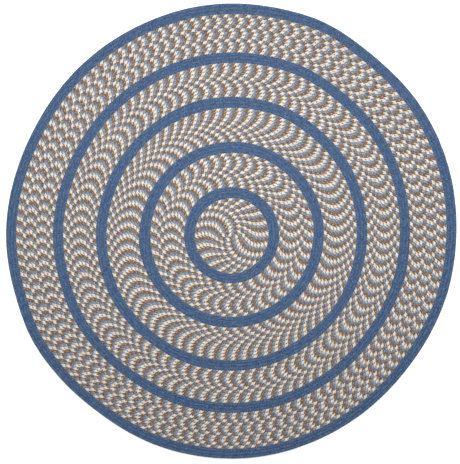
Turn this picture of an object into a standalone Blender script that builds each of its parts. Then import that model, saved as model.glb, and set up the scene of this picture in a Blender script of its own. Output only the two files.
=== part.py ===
# Round braided rug, laid flat on the floor.
#
# One flat braid is wound outwards, row after row, and sewn edge to edge. It changes colour nine
# times, so the rug is ten lengths of braid: a tweed centre, then blue rings and tweed bands in
# turn, and a blue border. Each length is one flat solid, its edges dipping towards the next one.
# Metres, +Z up. The origin is on the floor, under the middle of the rug.

import math

import bmesh
import bpy

# The braid
THICKNESS = 0.0095          # of the sewn rug
SEAM_GAP = 0.0003           # left between one length of braid and the next
EDGE_DIP_WIDTH = 0.0035     # how far a braid's rounded edge reaches in from the seam
EDGE_DIP_HEIGHT = 0.0027    # how far the rounded edge drops from the braid's face

# The lengths of braid from the middle out: each one's rows, the width of one row, and the angle
# in degrees where its tapered end is tucked in against the next length
BRAIDS = (
    # name, rows, row width, colour, end angle
    ("tweed_centre", 11, 0.01370, "tweed", 266.0),
    ("blue_ring_1", 3, 0.01405, "denim", 124.0),
    ("tweed_band_1", 10, 0.01380, "tweed", 10.0),
    ("blue_ring_2", 3, 0.01430, "denim", 190.0),
    ("tweed_band_2", 10, 0.01350, "tweed", 326.0),
    ("blue_ring_3", 3, 0.01385, "denim", 106.0),
    ("tweed_band_3", 10, 0.01340, "tweed", 230.0),
    ("blue_ring_4", 3, 0.01320, "denim", 346.0),
    ("tweed_band_4", 11, 0.01360, "tweed", 64.0),
    ("blue_border", 3, 0.01345, "denim", 173.0),
)
MEAN_RADIUS = sum(rows * row_width for _, rows, row_width, _, _ in BRAIDS)

# A tucked end pushes the seam outwards a little
BULGE = 0.0040              # how far it pushes the seam
BULGE_LENGTH = 0.080        # along the seam, from the bulge's middle to where it has faded
BULGE_REACH = 0.025         # across the seam, the same

# Sewing by hand pulls the rug out of true. The middle sits off centre, and the edge is oval.
CENTRE_DRIFT = 0.0185       # from the middle of the outer edge to the middle of the spiral
CENTRE_DRIFT_ANGLE = math.radians(-93.0)
OVAL = 0.0078               # added to the radius at the long axis and taken off at the short one
OVAL_ANGLE = math.radians(65.0)
OVAL_GROWTH = 1.2           # power of the radius with which the oval grows

# Dips and swells of the outer edge, which fade towards the middle
EDGE_WAVES = (
    # angle in degrees, height, half width in degrees
    (15.0, 0.0020, 14.0),
    (50.0, -0.0088, 12.0),
    (67.0, 0.0035, 8.0),
    (96.0, 0.0030, 14.0),
    (151.0, -0.0045, 15.0),
    (181.0, 0.0060, 13.0),
    (208.0, 0.0055, 8.0),
    (234.0, -0.0088, 12.0),
    (277.0, 0.0040, 15.0),
    (321.0, -0.0042, 13.0),
    (345.0, 0.0022, 10.0),
)
WAVE_FADE = 2.2             # power of the radius with which the waves grow

CORNERS = 64                # round each outline

# Colours are linear red, green and blue
FINISHES = {
    "tweed": {"colour": (0.376, 0.342, 0.319, 1.0), "roughness": 0.9},
    "denim": {"colour": (0.076, 0.127, 0.231, 1.0), "roughness": 0.9},
}


def clear_scene():
    for old in list(bpy.data.objects):
        bpy.data.objects.remove(old, do_unlink=True)


def make_material(name, finish):
    material = bpy.data.materials.new(name)
    material.use_nodes = True
    surface = material.node_tree.nodes["Principled BSDF"]
    surface.inputs["Base Color"].default_value = finish["colour"]
    surface.inputs["Roughness"].default_value = finish["roughness"]
    surface.inputs["Metallic"].default_value = 0.0
    return material


def wave_height(angle):
    """Height of the outer edge's dips and swells at an angle."""
    height = 0.0
    for wave_angle, wave, half_width in EDGE_WAVES:
        away = math.remainder(angle - math.radians(wave_angle), math.tau)
        height += wave * math.exp(-(away / math.radians(half_width)) ** 2)
    return height


def bulge_height(mean_radius, angle):
    """How far the tucked ends of the inner lengths push a point outwards."""
    height = 0.0
    seam = 0.0
    for _, rows, row_width, _, end_angle in BRAIDS[:-1]:
        seam += rows * row_width
        along = seam * math.remainder(angle - math.radians(end_angle), math.tau) / BULGE_LENGTH
        across = (mean_radius - seam) / BULGE_REACH
        height += BULGE * math.exp(-along ** 2 - across ** 2)
    return height


def seam_point(mean_radius, angle):
    """Where the rug's circle of this mean radius really lies at an angle."""
    share = mean_radius / MEAN_RADIUS
    drift = CENTRE_DRIFT * (1.0 - share ** 2)
    radius = mean_radius + bulge_height(mean_radius, angle)
    radius += OVAL * share ** OVAL_GROWTH * math.cos(2.0 * (angle - OVAL_ANGLE))
    radius += wave_height(angle) * share ** WAVE_FADE
    x = radius * math.cos(angle) + drift * math.cos(CENTRE_DRIFT_ANGLE)
    y = radius * math.sin(angle) + drift * math.sin(CENTRE_DRIFT_ANGLE)
    return x, y


def corner_angles():
    return [math.tau * corner / CORNERS for corner in range(CORNERS)]


def rug_middle():
    """Middle of the box round the outer edge, which becomes the origin."""
    outline = [seam_point(MEAN_RADIUS, angle) for angle in corner_angles()]
    xs, ys = zip(*outline)
    return (min(xs) + max(xs)) / 2.0, (min(ys) + max(ys)) / 2.0


def edge_profile(edge, inward):
    """Section of a braid's rounded edge, from the floor up, as pairs of mean radius and height."""
    side = edge + inward * SEAM_GAP / 2.0
    face = side + inward * EDGE_DIP_WIDTH
    return [
        (face, 0.0),
        (side, EDGE_DIP_HEIGHT),
        (side, THICKNESS - EDGE_DIP_HEIGHT),
        (face, THICKNESS),
    ]


def add_loop(mesh, profile, angle, middle):
    """Corners of one cross-section of a braid."""
    loop = []
    for mean_radius, height in profile:
        x, y = seam_point(mean_radius, angle)
        loop.append(mesh.verts.new((x - middle[0], y - middle[1], height)))
    return loop


def bridge(mesh, loops, closed_section):
    """Faces between each cross-section and the next, round to the first again."""
    sides = len(loops[0]) if closed_section else len(loops[0]) - 1
    for loop, next_loop in zip(loops, loops[1:] + loops[:1]):
        for side in range(sides):
            above = (side + 1) % len(loop)
            mesh.faces.new((loop[side], next_loop[side], next_loop[above], loop[above]))


def make_braid(name, inner, outer, material, middle):
    """One length of braid: a ring from inner to outer, or a disc where inner is zero."""
    mesh = bmesh.new()
    profile = edge_profile(outer, -1.0)
    if inner > 0.0:
        profile += reversed(edge_profile(inner, 1.0))
    loops = [add_loop(mesh, profile, angle, middle) for angle in corner_angles()]
    bridge(mesh, loops, closed_section=inner > 0.0)
    if inner == 0.0:
        mesh.faces.new([loop[-1] for loop in loops])
        mesh.faces.new([loop[0] for loop in reversed(loops)])

    data = bpy.data.meshes.new(name)
    mesh.to_mesh(data)
    mesh.free()
    data.materials.append(material)
    braid = bpy.data.objects.new(name, data)
    bpy.context.scene.collection.objects.link(braid)
    return braid


def make_rug():
    clear_scene()
    materials = {name: make_material(name, finish) for name, finish in FINISHES.items()}
    middle = rug_middle()
    inner = 0.0
    for name, rows, row_width, colour, _ in BRAIDS:
        outer = inner + rows * row_width
        make_braid(name, inner, outer, materials[colour], middle)
        inner = outer


make_rug()
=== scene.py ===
import math

import bpy
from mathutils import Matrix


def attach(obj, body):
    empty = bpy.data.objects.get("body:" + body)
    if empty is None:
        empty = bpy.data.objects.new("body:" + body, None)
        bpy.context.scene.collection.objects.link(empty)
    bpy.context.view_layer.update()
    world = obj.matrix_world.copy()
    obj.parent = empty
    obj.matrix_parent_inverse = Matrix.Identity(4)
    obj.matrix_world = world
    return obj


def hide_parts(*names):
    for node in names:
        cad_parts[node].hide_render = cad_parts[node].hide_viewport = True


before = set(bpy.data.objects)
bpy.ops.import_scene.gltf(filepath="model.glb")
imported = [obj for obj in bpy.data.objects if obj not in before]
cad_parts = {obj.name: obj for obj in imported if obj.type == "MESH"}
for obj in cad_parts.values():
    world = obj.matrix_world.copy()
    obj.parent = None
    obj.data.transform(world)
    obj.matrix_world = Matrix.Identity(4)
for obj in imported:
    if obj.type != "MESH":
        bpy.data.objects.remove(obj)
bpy.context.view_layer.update()        # ten flat lengths of braid on one body
print("frame loaded,", len(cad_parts), "lengths of braid")

# The rug's outline in metres and degrees, by the same rule as its solids
rugShape = {
    "thickness": 0.0095,
    "bulge": 0.0040,            # a tucked end pushes the seam out by this much
    "bulgeLength": 0.080,       # along the seam
    "bulgeReach": 0.025,        # across it
    "centreDrift": 0.0185,      # the spiral's middle lies off the rug's middle
    "centreDriftAngle": -93.0,
    "oval": 0.0078,             # longer this way by this much at the outline
    "ovalAngle": 65.0,
    "ovalGrowth": 1.2,          # power of the radius by which it grows
    "waveFade": 2.2,            # power of the radius by which the outline's waves fade inwards
    "edgeWaves": (              # angle, height, half width
        (15.0, 0.0020, 14.0),
        (50.0, -0.0088, 12.0),
        (67.0, 0.0035, 8.0),
        (96.0, 0.0030, 14.0),
        (151.0, -0.0045, 15.0),
        (181.0, 0.0060, 13.0),
        (208.0, 0.0055, 8.0),
        (234.0, -0.0088, 12.0),
        (277.0, 0.0040, 15.0),
        (321.0, -0.0042, 13.0),
        (345.0, 0.0022, 10.0),
    ),
    "corners": 64,              # of the solids' outline, whose box the origin is centred under
}

# The lengths of braid from the middle out. endAngle is where a length's tapered ends are tucked in,
# and stepShare the share of a turn over which its rows step out. A repeat is one stitch of each
# strand, and stretch is how much longer the last repeats are than the first.
braidLengths = (
    {"node": "tweed_centre", "yarn": "tweed", "rows": 11, "rowWidth": 0.01370, "endAngle": 266.0,
     "stepShare": 0.16, "repeats": 121.0, "firstRepeat": 0.0, "stretch": 0.010},
    {"node": "blue_ring_1", "yarn": "denim", "rows": 3, "rowWidth": 0.01405, "endAngle": 124.0,
     "stepShare": 0.055, "repeats": 71.2, "firstRepeat": 0.0, "stretch": 0.0},
    {"node": "tweed_band_1", "yarn": "tweed", "rows": 10, "rowWidth": 0.01380, "endAngle": 10.0,
     "stepShare": 0.08, "repeats": 374.5, "firstRepeat": 0.15, "stretch": 0.028},
    {"node": "blue_ring_2", "yarn": "denim", "rows": 3, "rowWidth": 0.01430, "endAngle": 190.0,
     "stepShare": 0.055, "repeats": 146.4, "firstRepeat": 0.3, "stretch": 0.0},
    {"node": "tweed_band_2", "yarn": "tweed", "rows": 10, "rowWidth": 0.01350, "endAngle": 326.0,
     "stepShare": 0.05, "repeats": 623.1, "firstRepeat": 0.0, "stretch": -0.003},
    {"node": "blue_ring_3", "yarn": "denim", "rows": 3, "rowWidth": 0.01385, "endAngle": 106.0,
     "stepShare": 0.055, "repeats": 221.1, "firstRepeat": 0.6, "stretch": 0.0},
    {"node": "tweed_band_3", "yarn": "tweed", "rows": 10, "rowWidth": 0.01340, "endAngle": 230.0,
     "stepShare": 0.03, "repeats": 858.5, "firstRepeat": 0.9, "stretch": 0.001},
    {"node": "blue_ring_4", "yarn": "denim", "rows": 3, "rowWidth": 0.01320, "endAngle": 346.0,
     "stepShare": 0.055, "repeats": 294.7, "firstRepeat": 0.1, "stretch": 0.0},
    {"node": "tweed_band_4", "yarn": "tweed", "rows": 11, "rowWidth": 0.01360, "endAngle": 64.0,
     "stepShare": 0.05, "repeats": 1228.8, "firstRepeat": 0.0, "stretch": 0.017, "parts": 2},
    {"node": "blue_border", "yarn": "denim", "rows": 3, "rowWidth": 0.01345, "endAngle": 173.0,
     "stepShare": 0.055, "repeats": 375.3, "firstRepeat": 0.8, "stretch": 0.0},
)
meanRadius = sum(length["rows"] * length["rowWidth"] for length in braidLengths)
strandCount = 3


def angleFrom(angle, degrees):
    return math.remainder(angle - math.radians(degrees), math.tau)


def seamPoint(radius, angle):   # where the rug's circle of this mean radius really lies
    share = radius / meanRadius
    reach = radius + rugShape["oval"] * share ** rugShape["ovalGrowth"] * math.cos(
        2.0 * (angle - math.radians(rugShape["ovalAngle"])))
    seam = 0.0
    for length in braidLengths[:-1]:
        seam += length["rows"] * length["rowWidth"]
        along = seam * angleFrom(angle, length["endAngle"]) / rugShape["bulgeLength"]
        away = (radius - seam) / rugShape["bulgeReach"]
        reach += rugShape["bulge"] * math.exp(-along ** 2 - away ** 2)
    for waveAngle, height, halfWidth in rugShape["edgeWaves"]:
        away = angleFrom(angle, waveAngle) / math.radians(halfWidth)
        reach += height * math.exp(-away ** 2) * share ** rugShape["waveFade"]
    drift = rugShape["centreDrift"] * (1.0 - share ** 2)
    driftAngle = math.radians(rugShape["centreDriftAngle"])
    return (reach * math.cos(angle) + drift * math.cos(driftAngle),
            reach * math.sin(angle) + drift * math.sin(driftAngle))


corners = [seamPoint(meanRadius, math.tau * corner / rugShape["corners"])
           for corner in range(rugShape["corners"])]
rugMiddle = [(min(axis) + max(axis)) / 2.0 for axis in zip(*corners)]


def addNode(tree, kind, links=(), **settings):   # links go in by order, or by name from a dictionary
    node = tree.nodes.new(kind)
    for name, value in settings.items():
        setattr(node, name, value)
    sockets = [socket for socket in node.inputs if socket.enabled]
    if isinstance(links, dict):
        byName = {socket.name: socket for socket in sockets}
        pairs = [(byName[name], value) for name, value in links.items()]
    else:
        pairs = zip(sockets, links)
    for socket, value in pairs:
        if isinstance(value, bpy.types.Node):
            value = next(output for output in value.outputs if output.enabled)
        if isinstance(value, bpy.types.NodeSocket):
            tree.links.new(value, socket)
        else:
            socket.default_value = value
    return node


# The path that a length of braid is laid along

pathShape = {
    "stepLength": 0.005,        # most metres between two points
    "stepTurn": 0.012,          # and most share of a turn
    "tip": 0.0016,              # width of a tapered end at its very tip
    "blueStart": 0.26,          # where in a repeat the blue strand's stitch starts
}


def rowStair(turn, share):   # rows climbed after a number of turns
    nearest = math.floor(turn + 0.5)
    climbed = min(max((turn - nearest) / share * 0.5 + 0.5, 0.0), 1.0)
    return nearest - 1.0 + climbed * climbed * (3.0 - 2.0 * climbed)


def stitchNumber(length, share):   # at a share of the braid's whole length
    along = share + length["stretch"] / 2.0 * share * (1.0 - share)
    repeat = length["firstRepeat"] + length["repeats"] * along - pathShape["blueStart"]
    return strandCount * (repeat + 1.0)


def braidPath(length, inner):   # a ruler in stitches, which carries the row's two edges there
    outer = inner + length["rows"] * length["rowWidth"]
    turn = -length["stepShare"]
    lastTurn = length["rows"] + length["stepShare"]
    travels, innerEdges, outerEdges = [0.0], [], []
    lastMiddle = None
    while True:
        angle = math.radians(length["endAngle"]) + math.tau * turn
        edges = []
        for rowsOut in (0.0, 1.0):
            climbed = rowStair(turn + rowsOut, length["stepShare"])
            edges.append(min(max(inner + length["rowWidth"] * climbed, inner), outer))
        edges[0] = min(edges[0], outer - pathShape["tip"])
        edges[1] = max(edges[1], edges[0] + pathShape["tip"])
        radius = sum(edges) / 2.0
        for edge, points in ((edges[0], innerEdges), (edges[1], outerEdges)):
            x, y = seamPoint(edge, angle)
            points += (x - rugMiddle[0], y - rugMiddle[1], 0.0)
        middle = seamPoint(radius, angle)
        if lastMiddle:
            travels.append(travels[-1] + math.dist(middle, lastMiddle))
        lastMiddle = middle
        if turn >= lastTurn:
            break
        step = min(pathShape["stepTurn"], pathShape["stepLength"] / (math.tau * radius))
        turn = min(turn + step, lastTurn)

    stitches = [stitchNumber(length, travel / travels[-1]) for travel in travels]
    mesh = bpy.data.meshes.new(length["node"] + "Path")
    mesh.from_pydata([(stitch - stitches[0], 0.0, 0.0) for stitch in stitches],
                     [(i, i + 1) for i in range(len(stitches) - 1)], [])
    for name, points in (("innerEdge", innerEdges), ("outerEdge", outerEdges)):
        values = mesh.attributes.new(name, "FLOAT_VECTOR", "POINT")
        values.data.foreach_set("vector", points)
    return mesh, stitches[0], stitches[-1]


# The braid itself. Each strand's stitch runs slantwise over the top, round the outer edge, back
# underneath and up the inner edge, one stitch further on after each time round.

stitchShape = {
    "Steps Along": 4,           # of the mesh in one stitch
    "Steps Around": 8,
    "Slant": 0.58,              # stitches that a stitch leans by on its way over the top
    "Seam Press": 0.0002,       # metres that a row is pressed into the next past their seam
    "Groove Depth": 0.30,       # share of the half thickness that the groove between stitches takes
    "Groove Pinch": 0.05,       # share of the half width that it takes
    "Groove Width": 2.2,        # power of the groove's section, narrower as it grows
    "Edge Roundness": 0.42,     # power of the section's edges: 1 an ellipse, 0 a box
    "Face Roundness": 0.46,
    "Taper": 0.5,               # power by which a tapered end's height follows its width
    "Uneven Width": 0.0018,     # metres that the rows wander by
    "Uneven Height": 0.10,      # share of the thickness
    "Uneven Rate": 22.0,        # changes of both in a metre
    "Uneven Stitch": 0.30,      # stitches that a stitch is out of its place by
    "Stitch Rate": 0.55,        # changes of that in a stitch
    "Seed": 4.0,
    "Weld": 0.000005,           # metres within which points are one, where the tube closes
}


def braidTree():
    tree = bpy.data.node_groups.new("braid", "GeometryNodeTree")
    names = {}
    for name, kind in (
            ("Path", "Geometry"), ("Thickness", "Float"), ("Row Width", "Float"),
            ("First Stitch", "Float"), ("Part Start", "Float"), ("Part End", "Float"),
            ("Steps Along", "Int"), ("Steps Around", "Int"), ("Slant", "Float"),
            ("Seam Press", "Float"), ("Groove Depth", "Float"), ("Groove Pinch", "Float"),
            ("Groove Width", "Float"), ("Edge Roundness", "Float"), ("Face Roundness", "Float"),
            ("Taper", "Float"), ("Uneven Width", "Float"), ("Uneven Height", "Float"),
            ("Uneven Rate", "Float"), ("Uneven Stitch", "Float"), ("Stitch Rate", "Float"),
            ("Seed", "Float"), ("Weld", "Float"), ("Finish", "Material")):
        names[name] = tree.interface.new_socket(
            name, in_out="INPUT", socket_type="NodeSocket" + kind).identifier
    tree.interface.new_socket("Braid", in_out="OUTPUT", socket_type="NodeSocketGeometry")
    given = addNode(tree, "NodeGroupInput").outputs

    # A grid with lines across the braid, a step apart, and a column for each step around it. One line
    # ends the last step, and two close the tips.
    halfSlant = addNode(tree, "ShaderNodeMath", (given["Slant"], 0.5), operation="MULTIPLY")
    early = addNode(tree, "ShaderNodeMath", (given["Part Start"], halfSlant), operation="SUBTRACT")
    firstWhole = addNode(tree, "ShaderNodeMath", (early,), operation="FLOOR")
    nextStitch = addNode(tree, "ShaderNodeMath", (given["Part End"], 1.0), operation="ADD")
    late = addNode(tree, "ShaderNodeMath", (nextStitch, halfSlant), operation="SUBTRACT")
    lastWhole = addNode(tree, "ShaderNodeMath", (late,), operation="CEIL")
    wholes = addNode(tree, "ShaderNodeMath", (lastWhole, firstWhole), operation="SUBTRACT")
    lines = addNode(tree, "ShaderNodeMath", (wholes, given["Steps Along"], 3.0),
                    operation="MULTIPLY_ADD")
    columns = addNode(tree, "ShaderNodeMath", (given["Steps Around"], 1.0), operation="ADD")
    grid = addNode(tree, "GeometryNodeMeshGrid", {"Vertices X": lines, "Vertices Y": columns})
    index = addNode(tree, "GeometryNodeInputIndex")
    column = addNode(tree, "FunctionNodeIntegerMath", (index, columns), operation="MODULO")
    line = addNode(tree, "FunctionNodeIntegerMath", (index, columns), operation="DIVIDE")

    # Round the section: 0 at the inner edge, a quarter on top, a half at the outer edge
    around = addNode(tree, "ShaderNodeMath", (column, given["Steps Around"]), operation="DIVIDE")
    turned = addNode(tree, "ShaderNodeMath", (around, math.tau), operation="MULTIPLY")
    cosine = addNode(tree, "ShaderNodeMath", (turned,), operation="COSINE")
    outwardSide = addNode(tree, "ShaderNodeMath", (cosine, -1.0), operation="MULTIPLY")
    outwardSign = addNode(tree, "ShaderNodeMath", (outwardSide,), operation="SIGN")
    outwardSize = addNode(tree, "ShaderNodeMath", (cosine,), operation="ABSOLUTE")
    boxedWidth = addNode(tree, "ShaderNodeMath", (outwardSize, given["Edge Roundness"]),
                         operation="POWER")
    across = addNode(tree, "ShaderNodeMath", (outwardSign, boxedWidth), operation="MULTIPLY")
    sine = addNode(tree, "ShaderNodeMath", (turned,), operation="SINE")
    upwardSign = addNode(tree, "ShaderNodeMath", (sine,), operation="SIGN")
    upwardSize = addNode(tree, "ShaderNodeMath", (sine,), operation="ABSOLUTE")
    boxedHeight = addNode(tree, "ShaderNodeMath", (upwardSize, given["Face Roundness"]),
                          operation="POWER")
    upward = addNode(tree, "ShaderNodeMath", (upwardSign, boxedHeight), operation="MULTIPLY")

    # Along the braid in stitches. What the slant doesn't take on top it takes below.
    below = addNode(tree, "ShaderNodeMath", (around, 0.5), operation="GREATER_THAN")
    slantTop = addNode(tree, "ShaderNodeMath", (across, halfSlant), operation="MULTIPLY")
    slantBack = addNode(tree, "ShaderNodeMath", (across, -0.5, 0.5), operation="MULTIPLY_ADD")
    slant = addNode(tree, "ShaderNodeMath", (below, slantBack, slantTop), operation="MULTIPLY_ADD")
    lineAhead = addNode(tree, "ShaderNodeMath", (line, 1.0), operation="SUBTRACT")
    linePlace = addNode(tree, "ShaderNodeMath", (lineAhead, given["Steps Along"]), operation="DIVIDE")
    lineStitch = addNode(tree, "ShaderNodeMath", (firstWhole, linePlace), operation="ADD")
    leant = addNode(tree, "ShaderNodeMath", (lineStitch, slant), operation="SUBTRACT")
    started = addNode(tree, "ShaderNodeMath", (leant, given["Part Start"]), operation="MAXIMUM")
    stitch = addNode(tree, "ShaderNodeMath", (started, given["Part End"]), operation="MINIMUM")
    strand = addNode(tree, "ShaderNodeMath", (stitch, slant), operation="ADD")   # 1 more each stitch
    seeded = addNode(tree, "ShaderNodeMath", (stitch, given["Seed"]), operation="ADD")
    stray = addNode(tree, "ShaderNodeTexNoise",
                    {"W": seeded, "Scale": given["Stitch Rate"], "Detail": 1.0},
                    noise_dimensions="1D")
    strayEvenly = addNode(tree, "ShaderNodeMath", (stray, 0.5), operation="SUBTRACT")
    strayed = addNode(tree, "ShaderNodeMath", (strayEvenly, given["Uneven Stitch"], stitch),
                      operation="MULTIPLY_ADD")
    distance = addNode(tree, "ShaderNodeMath", (strayed, given["First Stitch"]),
                       operation="SUBTRACT")

    # The row's two edges there, and between them its middle, width and outward direction
    path = addNode(tree, "GeometryNodeMeshToCurve", (given["Path"],))
    edges = []
    for name in ("innerEdge", "outerEdge"):
        value = addNode(tree, "GeometryNodeInputNamedAttribute", {"Name": name},
                        data_type="FLOAT_VECTOR")
        edges.append(addNode(tree, "GeometryNodeSampleCurve",
                             {"Curves": path, "Value": value, "Length": distance},
                             mode="LENGTH", data_type="FLOAT_VECTOR", use_all_curves=True))
    middle = addNode(tree, "ShaderNodeMix", {"Factor": 0.5, "A": edges[0], "B": edges[1]},
                     data_type="VECTOR")
    span = addNode(tree, "ShaderNodeVectorMath", (edges[1], edges[0]), operation="SUBTRACT")
    width = addNode(tree, "ShaderNodeVectorMath", (span,), operation="LENGTH")
    outward = addNode(tree, "ShaderNodeVectorMath", (span,), operation="NORMALIZE")

    # Less wide and high in the grooves between stitches, at the tapered ends and where it is uneven
    partWidth = addNode(tree, "ShaderNodeMath", (width, given["Row Width"]), operation="DIVIDE")
    fullWidth = addNode(tree, "ShaderNodeMath", (partWidth, 1.0), operation="MINIMUM")
    taper = addNode(tree, "ShaderNodeMath", (fullWidth, given["Taper"]), operation="POWER")
    stitchPart = addNode(tree, "ShaderNodeMath", (strand,), operation="FRACT")
    crownSide = addNode(tree, "ShaderNodeMath", (stitchPart, 2.0, -1.0), operation="MULTIPLY_ADD")
    fromCrown = addNode(tree, "ShaderNodeMath", (crownSide,), operation="ABSOLUTE")
    groove = addNode(tree, "ShaderNodeMath", (fromCrown, given["Groove Width"]), operation="POWER")
    place = addNode(tree, "ShaderNodeVectorMath", (middle, given["Seed"]), operation="ADD")
    uneven = addNode(tree, "ShaderNodeTexNoise",
                     {"Vector": place, "Scale": given["Uneven Rate"], "Detail": 2.0})
    unevenParts = addNode(tree, "ShaderNodeSeparateXYZ", (uneven.outputs["Color"],)).outputs
    linesLeft = addNode(tree, "ShaderNodeMath", (lines, line), operation="SUBTRACT")
    beforeEnd = addNode(tree, "ShaderNodeMath", (linesLeft, 1.0), operation="SUBTRACT")
    nearEnd = addNode(tree, "ShaderNodeMath", (beforeEnd, line), operation="MINIMUM")
    closed = addNode(tree, "ShaderNodeMath", (nearEnd, 1.0), operation="MINIMUM")   # 0 at both tips

    pressed = addNode(tree, "ShaderNodeMath", (width, 0.5, given["Seam Press"]),
                      operation="MULTIPLY_ADD")
    pinch = addNode(tree, "ShaderNodeMath", (groove, given["Groove Pinch"]), operation="MULTIPLY")
    unpinched = addNode(tree, "ShaderNodeMath", (1.0, pinch), operation="SUBTRACT")
    halfWidth = addNode(tree, "ShaderNodeMath", (pressed, unpinched), operation="MULTIPLY")
    endWidth = addNode(tree, "ShaderNodeMath", (halfWidth, closed), operation="MULTIPLY")
    sidewaysBy = addNode(tree, "ShaderNodeMath", (endWidth, across), operation="MULTIPLY")

    halfThickness = addNode(tree, "ShaderNodeMath", (given["Thickness"], 0.5), operation="MULTIPLY")
    tapered = addNode(tree, "ShaderNodeMath", (halfThickness, taper), operation="MULTIPLY")
    dip = addNode(tree, "ShaderNodeMath", (groove, given["Groove Depth"]), operation="MULTIPLY")
    undipped = addNode(tree, "ShaderNodeMath", (1.0, dip), operation="SUBTRACT")
    grooved = addNode(tree, "ShaderNodeMath", (tapered, undipped), operation="MULTIPLY")
    low = addNode(tree, "ShaderNodeMath", (unevenParts[2], given["Uneven Height"]),
                  operation="MULTIPLY")
    high = addNode(tree, "ShaderNodeMath", (1.0, low), operation="SUBTRACT")
    halfHeight = addNode(tree, "ShaderNodeMath", (grooved, high), operation="MULTIPLY")
    endHeight = addNode(tree, "ShaderNodeMath", (halfHeight, closed), operation="MULTIPLY")
    height = addNode(tree, "ShaderNodeMath", (endHeight, upward, halfThickness),
                     operation="MULTIPLY_ADD")

    wanderX = addNode(tree, "ShaderNodeMath", (unevenParts[0], 0.5), operation="SUBTRACT")
    wanderY = addNode(tree, "ShaderNodeMath", (unevenParts[1], 0.5), operation="SUBTRACT")
    wander = addNode(tree, "ShaderNodeCombineXYZ", (wanderX, wanderY))
    wandered = addNode(tree, "ShaderNodeVectorMath", (wander, given["Uneven Width"]),
                       operation="SCALE")
    sideways = addNode(tree, "ShaderNodeVectorMath", (outward, sidewaysBy), operation="SCALE")
    fromMiddle = addNode(tree, "ShaderNodeVectorMath", (sideways, wandered), operation="ADD")
    onFloor = addNode(tree, "ShaderNodeVectorMath", (middle, fromMiddle), operation="ADD")
    raised = addNode(tree, "ShaderNodeCombineXYZ", {"Z": height})
    position = addNode(tree, "ShaderNodeVectorMath", (onFloor, raised), operation="ADD")

    # The map is kept on the faces' corners, so that it still has two edges where the tube closes
    tube = addNode(tree, "GeometryNodeSetPosition", {"Geometry": grid, "Position": position})
    mapPlace = addNode(tree, "ShaderNodeCombineXYZ", (strand, around))
    held = addNode(tree, "GeometryNodeFieldOnDomain", (mapPlace,), domain="POINT",
                   data_type="FLOAT_VECTOR")
    kept = addNode(tree, "GeometryNodeStoreNamedAttribute",
                   {"Geometry": tube, "Name": "braidMap", "Value": held},
                   data_type="FLOAT2", domain="CORNER")
    outside = addNode(tree, "GeometryNodeFlipFaces", (kept,))
    merged = addNode(tree, "GeometryNodeMergeByDistance",
                     {"Geometry": outside, "Distance": given["Weld"]})
    smooth = addNode(tree, "GeometryNodeSetShadeSmooth", (merged,))
    real = addNode(tree, "GeometryNodeRealizeInstances", (smooth,))
    finished = addNode(tree, "GeometryNodeSetMaterial", {"Geometry": real, "Material": given["Finish"]})
    addNode(tree, "NodeGroupOutput", (finished,))
    return tree, names


# Finishes

def linear(hexColour):   # an sRGB hex value as Blender's linear colour
    channels = [int(hexColour[i:i + 2], 16) / 255.0 for i in (0, 2, 4)]
    return [c / 12.92 if c <= 0.04045 else ((c + 0.055) / 1.055) ** 2.4 for c in channels] + [1.0]


yarns = {
    "tweed": {
        "name": "spunWoolBlendTweed",
        "slot": "tweed_braid",
        "strands": ("6D788C", "CEC4BA", "71553F"),   # light blue, cream, brown, in the braid's order
        "warmFlecks": ("857C95", "D4BCB8", "84584C"),   # the other shades spun into each
        "coolFlecks": ("66847B", "C1C9B5", "606041"),
        "fleckShare": 0.65,
        "plyShade": 0.26,       # how far the shade wanders along the plies, as linear colour
    },
    "denim": {
        "name": "spunWoolBlendDenim",
        "slot": "blue_braid",
        "strands": ("3B5274", "3E5476", "384E70"),   # three dye lots of one blue
        "warmFlecks": ("4A547F", "444E7D", "3D4870"),
        "coolFlecks": ("385E74", "40627B", "325A6E"),
        "fleckShare": 0.8,
        "plyShade": 0.15,
    },
}
yarnLook = {
    "stitchLength": 0.015,      # metres of braid in one stitch
    "girth": 0.040,             # metres round the braid
    "yarnsInStitch": 4.0,       # yarns side by side in a strand, each about 3.7 mm
    "yarnDepth": 0.0006,        # metres
    "plyLength": 0.0042,        # metres of a yarn over which one of its plies shows
    "plyTwist": 0.8,            # plies that the twist moves on by, across one yarn
    "plyDepth": 0.0003,
    "fibreScale": 700.0,        # 1.4 mm: far coarser than real fibre, so that it shows
    "fibreDepth": 0.0002,
    "fuzz": 0.10,               # stitches by which a strand's edge is ragged
    "clumpScale": 260.0,        # 4 mm, of the clumps of fibre that strands share at their edges
    "clump": 0.10,              # stitches by which a clump reaches into the next strand
    "edgeClump": 0.05,          # and by how much more at the row's edges
    "edgePower": 3.0,           # how close to them
    "forkStart": 0.34,          # share of the way from the row's middle to its edge where a fork starts
    "forkEnd": 0.50,            # and where it is fully open
    "innerFork": 0.20,          # stitches on both sides of the stitch's middle, at the row's inner edge
    "outerFork": 0.25,          # and at its outer edge
    "stitchShade": 0.06,        # how far one stitch may be lighter than another
    "yarnShade": 0.10,
    "patchScale": 9.0,          # changes in a metre, of slow patches
    "patchShade": 0.10,
    "grooveShadow": 0.15,        # painted shade in the grooves between stitches
    "groovePower": 4.0,         # narrower as it grows
    "fleckLength": 0.0048,      # metres
    "fleckWidth": 0.0030,
    "fleckStart": 0.48,         # of the noise, where a fleck begins
    "fleckFull": 0.60,          # and where it covers fully
    "hollowShadow": 0.25,         # painted shade, as dark specks where a hollow between yarns would show
    "hollowShadowStart": 0.56,
    "hollowShadowFull": 0.66,
    "reliefStrength": 0.8,
    "roughness": 0.92,          # wool scatters nearly all the light
    "ior": 1.5,
    "specular": 0.25,
    "sheen": 0.10,              # loose fibre at a low angle
    "sheenRoughness": 0.6,
}


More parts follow.
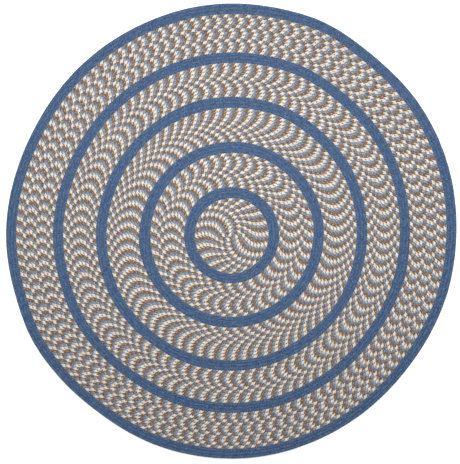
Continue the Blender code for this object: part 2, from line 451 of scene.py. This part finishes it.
def braidFinish(yarn):
    # Wool-blend yarn, spun, plied and plaited: matt, with a faint halo of loose fibre
    material = bpy.data.materials.new(yarn["name"])
    material.use_nodes = True
    tree = material.node_tree
    tree.nodes.clear()
    place = addNode(tree, "ShaderNodeUVMap", uv_map="braidMap")
    along, around, _ = addNode(tree, "ShaderNodeSeparateXYZ", (place,)).outputs
    here = addNode(tree, "ShaderNodeTexCoord").outputs["Object"]

    # The row's edges, where its neighbours press against it
    turned = addNode(tree, "ShaderNodeMath", (around, math.tau), operation="MULTIPLY")
    outwardSide = addNode(tree, "ShaderNodeMath", (turned,), operation="COSINE")
    outwardSize = addNode(tree, "ShaderNodeMath", (outwardSide,), operation="ABSOLUTE")
    edge = addNode(tree, "ShaderNodeMath", (outwardSize, yarnLook["edgePower"]), operation="POWER")

    # A strand's stitch, whose edge is ragged with fibre and with clumps
    fibre = addNode(tree, "ShaderNodeTexNoise",
                    {"Vector": here, "Scale": yarnLook["fibreScale"], "Detail": 2.0})
    fibreEvenly = addNode(tree, "ShaderNodeMath", (fibre, 0.5), operation="SUBTRACT")
    clump = addNode(tree, "ShaderNodeTexNoise",
                    {"Vector": here, "Scale": yarnLook["clumpScale"], "Detail": 1.0})
    clumpEvenly = addNode(tree, "ShaderNodeMath", (clump, 0.5), operation="SUBTRACT")
    clumpReach = addNode(tree, "ShaderNodeMath", (edge, yarnLook["edgeClump"], yarnLook["clump"]),
                         operation="MULTIPLY_ADD")
    fuzzy = addNode(tree, "ShaderNodeMath", (fibreEvenly, yarnLook["fuzz"], along),
                    operation="MULTIPLY_ADD")
    ragged = addNode(tree, "ShaderNodeMath", (clumpEvenly, clumpReach, fuzzy),
                     operation="MULTIPLY_ADD")
    stitch = addNode(tree, "ShaderNodeMath", (ragged,), operation="FLOOR")

    # Each end of a stitch is forked where a strand crosses under it: the next one at the row's inner
    # edge, the one before at its outer edge
    folded = addNode(tree, "ShaderNodeMath", (around, 2.0), operation="MULTIPLY")
    foldPart = addNode(tree, "ShaderNodeMath", (folded,), operation="FRACT")
    foldSide = addNode(tree, "ShaderNodeMath", (foldPart, 2.0, -1.0), operation="MULTIPLY_ADD")
    reach = addNode(tree, "ShaderNodeMath", (foldSide,), operation="ABSOLUTE")   # 1 at the row's edges
    outerEdge = addNode(tree, "ShaderNodeMath", (outwardSide, 0.0), operation="LESS_THAN")
    openFork = addNode(tree, "ShaderNodeMath",
                       (outerEdge, yarnLook["outerFork"] - yarnLook["innerFork"], yarnLook["innerFork"]),
                       operation="MULTIPLY_ADD")
    forkWidth = addNode(tree, "ShaderNodeMapRange",
                        (reach, yarnLook["forkStart"], yarnLook["forkEnd"], 0.0, openFork))
    raggedPart = addNode(tree, "ShaderNodeMath", (ragged,), operation="FRACT")
    raggedSide = addNode(tree, "ShaderNodeMath", (raggedPart, 0.5), operation="SUBTRACT")
    fromMiddle = addNode(tree, "ShaderNodeMath", (raggedSide,), operation="ABSOLUTE")
    inFork = addNode(tree, "ShaderNodeMath", (fromMiddle, forkWidth), operation="LESS_THAN")
    forkStep = addNode(tree, "ShaderNodeMath", (outerEdge, 1.0), operation="ADD")
    shown = addNode(tree, "ShaderNodeMath", (inFork, forkStep, stitch), operation="MULTIPLY_ADD")
    strand = addNode(tree, "ShaderNodeMath", (shown, float(strandCount)), operation="MODULO")
    rampPlace = addNode(tree, "ShaderNodeMath", (strand, 1.0 / strandCount, 0.5 / strandCount),
                        operation="MULTIPLY_ADD")
    wools = []
    for colours in (yarn["strands"], yarn["warmFlecks"], yarn["coolFlecks"]):
        wool = addNode(tree, "ShaderNodeValToRGB", (rampPlace,))
        ramp = wool.color_ramp
        ramp.interpolation = "CONSTANT"
        ramp.elements.remove(ramp.elements[1])
        ramp.elements[0].color = linear(colours[0])
        for number in range(1, strandCount):
            ramp.elements.new(number / strandCount).color = linear(colours[number])
        wools.append(wool)

    # Flecks of other shades, and dark specks of painted shade for hollows between yarns
    fleckAlong = addNode(tree, "ShaderNodeMath",
                         (along, yarnLook["stitchLength"] / yarnLook["fleckWidth"]),
                         operation="MULTIPLY")
    fleckAround = addNode(tree, "ShaderNodeMath",
                          (around, yarnLook["girth"] / yarnLook["fleckLength"]),
                          operation="MULTIPLY")
    fleckPlace = addNode(tree, "ShaderNodeCombineXYZ", (fleckAlong, fleckAround, stitch))
    fleckNoise = addNode(tree, "ShaderNodeTexNoise",
                         {"Vector": fleckPlace, "Scale": 1.0, "Detail": 1.0})
    fleckParts = addNode(tree, "ShaderNodeSeparateColor", (fleckNoise.outputs["Color"],)).outputs
    colour = wools[0]
    for wool, part in zip(wools[1:], fleckParts):
        fleck = addNode(tree, "ShaderNodeMapRange",
                        (part, yarnLook["fleckStart"], yarnLook["fleckFull"], 0.0, yarn["fleckShare"]),
                        interpolation_type="SMOOTHSTEP")
        colour = addNode(tree, "ShaderNodeMix", {"Factor": fleck, "A": colour, "B": wool},
                         data_type="RGBA")
    # Dark specks of painted shade, placed by noise, for hollows between yarns
    hollowShadowMask = addNode(tree, "ShaderNodeMapRange",
                    (fleckParts[2], yarnLook["hollowShadowStart"], yarnLook["hollowShadowFull"],
                     1.0, 1.0 - yarnLook["hollowShadow"]),
                    interpolation_type="SMOOTHSTEP")

    # Yarns side by side in the strand, and the plies that are twisted into each
    yarnCount = addNode(tree, "ShaderNodeMath", (along, yarnLook["yarnsInStitch"]),
                        operation="MULTIPLY")
    yarnNumber = addNode(tree, "ShaderNodeMath", (yarnCount,), operation="FLOOR")
    twist = addNode(tree, "ShaderNodeMath", (yarnCount, yarnLook["plyTwist"]), operation="MULTIPLY")
    plyCount = addNode(tree, "ShaderNodeMath",
                       (around, yarnLook["girth"] / yarnLook["plyLength"], twist),
                       operation="MULTIPLY_ADD")
    plyPlace = addNode(tree, "ShaderNodeCombineXYZ", (yarnCount, plyCount, stitch))
    plyNoise = addNode(tree, "ShaderNodeTexNoise", {"Vector": plyPlace, "Scale": 1.0, "Detail": 1.0})
    plyEvenly = addNode(tree, "ShaderNodeMath", (plyNoise, 0.5), operation="SUBTRACT")
    heather = addNode(tree, "ShaderNodeMath", (plyEvenly, yarn["plyShade"] * 2.0),
                      operation="MULTIPLY")

    # Shade of each stitch, of each yarn in it and of slow patches over the rug, and painted shade in the
    # grooves
    stitchNoise = addNode(tree, "ShaderNodeTexWhiteNoise", (stitch,), noise_dimensions="1D")
    yarnNoise = addNode(tree, "ShaderNodeTexWhiteNoise", (yarnNumber,), noise_dimensions="1D")
    patchNoise = addNode(tree, "ShaderNodeTexNoise",
                         {"Vector": here, "Scale": yarnLook["patchScale"], "Detail": 3.0})
    shade = 1.0
    for noise, size in ((stitchNoise, "stitchShade"), (yarnNoise, "yarnShade"),
                        (patchNoise, "patchShade")):
        evenly = addNode(tree, "ShaderNodeMath", (noise, 0.5), operation="SUBTRACT")
        shade = addNode(tree, "ShaderNodeMath", (evenly, yarnLook[size], shade),
                        operation="MULTIPLY_ADD")
    # Painted shade in the grooves between stitches, darkest where two stitches meet
    stitchPart = addNode(tree, "ShaderNodeMath", (along,), operation="FRACT")
    crownSide = addNode(tree, "ShaderNodeMath", (stitchPart, 2.0, -1.0), operation="MULTIPLY_ADD")
    fromCrown = addNode(tree, "ShaderNodeMath", (crownSide,), operation="ABSOLUTE")
    groove = addNode(tree, "ShaderNodeMath", (fromCrown, yarnLook["groovePower"]), operation="POWER")
    grooveShadowFactor = addNode(tree, "ShaderNodeMath", (groove, -yarnLook["grooveShadow"], 1.0),
                          operation="MULTIPLY_ADD")
    grooved = addNode(tree, "ShaderNodeMath", (shade, grooveShadowFactor), operation="MULTIPLY")
    hollowShadowed = addNode(tree, "ShaderNodeMath", (grooved, hollowShadowMask), operation="MULTIPLY")
    painted = addNode(tree, "ShaderNodeVectorMath", (colour, hollowShadowed, heather),
                      operation="MULTIPLY_ADD")

    # Relief: round yarns, the twist of their plies, and fibre
    yarnTurned = addNode(tree, "ShaderNodeMath", (yarnCount, math.pi), operation="MULTIPLY")
    yarnSide = addNode(tree, "ShaderNodeMath", (yarnTurned,), operation="SINE")
    yarnRound = addNode(tree, "ShaderNodeMath", (yarnSide,), operation="ABSOLUTE")
    plyTurned = addNode(tree, "ShaderNodeMath", (plyCount, math.pi), operation="MULTIPLY")
    plySide = addNode(tree, "ShaderNodeMath", (plyTurned,), operation="SINE")
    plyRound = addNode(tree, "ShaderNodeMath", (plySide,), operation="ABSOLUTE")
    relief = 0.0
    for form, depth in ((yarnRound, "yarnDepth"), (plyRound, "plyDepth"), (fibre, "fibreDepth")):
        relief = addNode(tree, "ShaderNodeMath", (form, yarnLook[depth], relief),
                         operation="MULTIPLY_ADD")
    bump = addNode(tree, "ShaderNodeBump",
                   {"Height": relief, "Strength": yarnLook["reliefStrength"], "Distance": 1.0})
    surface = addNode(tree, "ShaderNodeBsdfPrincipled", {
        "Base Color": painted, "Normal": bump, "Roughness": yarnLook["roughness"],
        "IOR": yarnLook["ior"], "Specular IOR Level": yarnLook["specular"],
        "Sheen Weight": yarnLook["sheen"], "Sheen Roughness": yarnLook["sheenRoughness"]})
    addNode(tree, "ShaderNodeOutputMaterial", {"Surface": surface})
    return material


# Laying the braid

def layBraid(tree, names, length, inner, finish, part):
    ruler, firstStitch, lastStitch = braidPath(length, inner)
    path = bpy.data.objects.new(ruler.name, ruler)
    bpy.context.scene.collection.objects.link(path)
    modifier = path.modifiers.new("braid", "NODES")
    modifier.node_group = tree
    parts = length.get("parts", 1)   # a long braid is cut, so that no piece has too many faces
    cuts = [firstStitch + (lastStitch - firstStitch) * cut / parts for cut in range(parts + 1)]
    inputs = {"Thickness": rugShape["thickness"], "Row Width": length["rowWidth"],
              "First Stitch": firstStitch, "Part Start": cuts[part], "Part End": cuts[part + 1],
              "Finish": finish}
    for name, value in {**stitchShape, **inputs}.items():
        modifier[names[name]] = value
    bpy.context.view_layer.update()
    evaluated = path.evaluated_get(bpy.context.evaluated_depsgraph_get())
    mesh = bpy.data.meshes.new_from_object(evaluated)
    bpy.data.objects.remove(path, do_unlink=True)
    name = length["node"] + ("_braid" if parts == 1 else "_braid_" + "ab"[part])
    mesh.name = name
    braid = bpy.data.objects.new(name, mesh)
    bpy.context.scene.collection.objects.link(braid)
    return braid


def layRug():
    tree, names = braidTree()
    finishes = {name: braidFinish(yarn) for name, yarn in yarns.items()}
    inner = 0.0
    for length in braidLengths:
        outer = inner + length["rows"] * length["rowWidth"]
        parts = length.get("parts", 1)
        for part in range(parts):
            braid = layBraid(tree, names, length, inner, finishes[length["yarn"]], part)
            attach(braid, "root")
            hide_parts(length["node"])
            print(braid.name, len(braid.data.polygons), "faces")
        inner = outer


layRug()

# Studio

studio = {
    "floorColour": "F4F3F1",
    "floorGlow": 0.25,          # the floor is lit to white, as a studio's is under a flat subject
    "floorRoughness": 0.9,
    "floorSpecular": 0.1,
    "floorSize": 80.0,          # metres
    "world": 0.75,              # even light from all round
    "softboxPower": 44.0,       # watts, from above the top of the picture
    "softboxSize": (3.0, 1.2),  # metres
    "softboxPlace": (0.0, 0.45, 1.7),
    "cameraLens": 100.0,        # millimetres
    "cameraSensor": 36.0,
    "cameraReach": 100.0,       # metres
    "cameraPlace": (-0.0053, -0.0040, 5.18),
}


def buildStudio():
    mesh = bpy.data.meshes.new("floor")
    half = studio["floorSize"] / 2.0
    mesh.from_pydata([(-half, -half, 0.0), (half, -half, 0.0), (half, half, 0.0), (-half, half, 0.0)],
                     [], [(0, 1, 2, 3)])
    floor = bpy.data.objects.new("floor", mesh)
    bpy.context.scene.collection.objects.link(floor)
    # Painted board: pale and matt, and no more
    paint = bpy.data.materials.new("paleMattFloor")
    paint.use_nodes = True
    surface = paint.node_tree.nodes["Principled BSDF"].inputs
    surface["Base Color"].default_value = linear(studio["floorColour"])
    surface["Roughness"].default_value = studio["floorRoughness"]
    surface["Specular IOR Level"].default_value = studio["floorSpecular"]
    surface["Emission Color"].default_value = (1.0, 1.0, 1.0, 1.0)
    surface["Emission Strength"].default_value = studio["floorGlow"]
    mesh.materials.append(paint)

    world = bpy.data.worlds.new("studio")
    world.use_nodes = True
    world.node_tree.nodes["Background"].inputs["Color"].default_value = (1.0, 1.0, 1.0, 1.0)
    world.node_tree.nodes["Background"].inputs["Strength"].default_value = studio["world"]
    bpy.context.scene.world = world

    lamp = bpy.data.lights.new("softbox", "AREA")
    lamp.shape = "RECTANGLE"
    lamp.energy = studio["softboxPower"]
    lamp.size, lamp.size_y = studio["softboxSize"]
    softbox = bpy.data.objects.new("softbox", lamp)
    softbox.location = studio["softboxPlace"]
    softbox.visible_camera = False
    bpy.context.scene.collection.objects.link(softbox)

    lens = bpy.data.cameras.new("camera")
    lens.sensor_fit = "HORIZONTAL"
    lens.sensor_width = studio["cameraSensor"]
    lens.lens = studio["cameraLens"]
    lens.clip_end = studio["cameraReach"]
    camera = bpy.data.objects.new("camera", lens)
    camera.location = studio["cameraPlace"]
    bpy.context.scene.collection.objects.link(camera)
    bpy.context.scene.camera = camera
    bpy.context.scene.view_settings.view_transform = "Standard"


buildStudio()
print("studio ready")
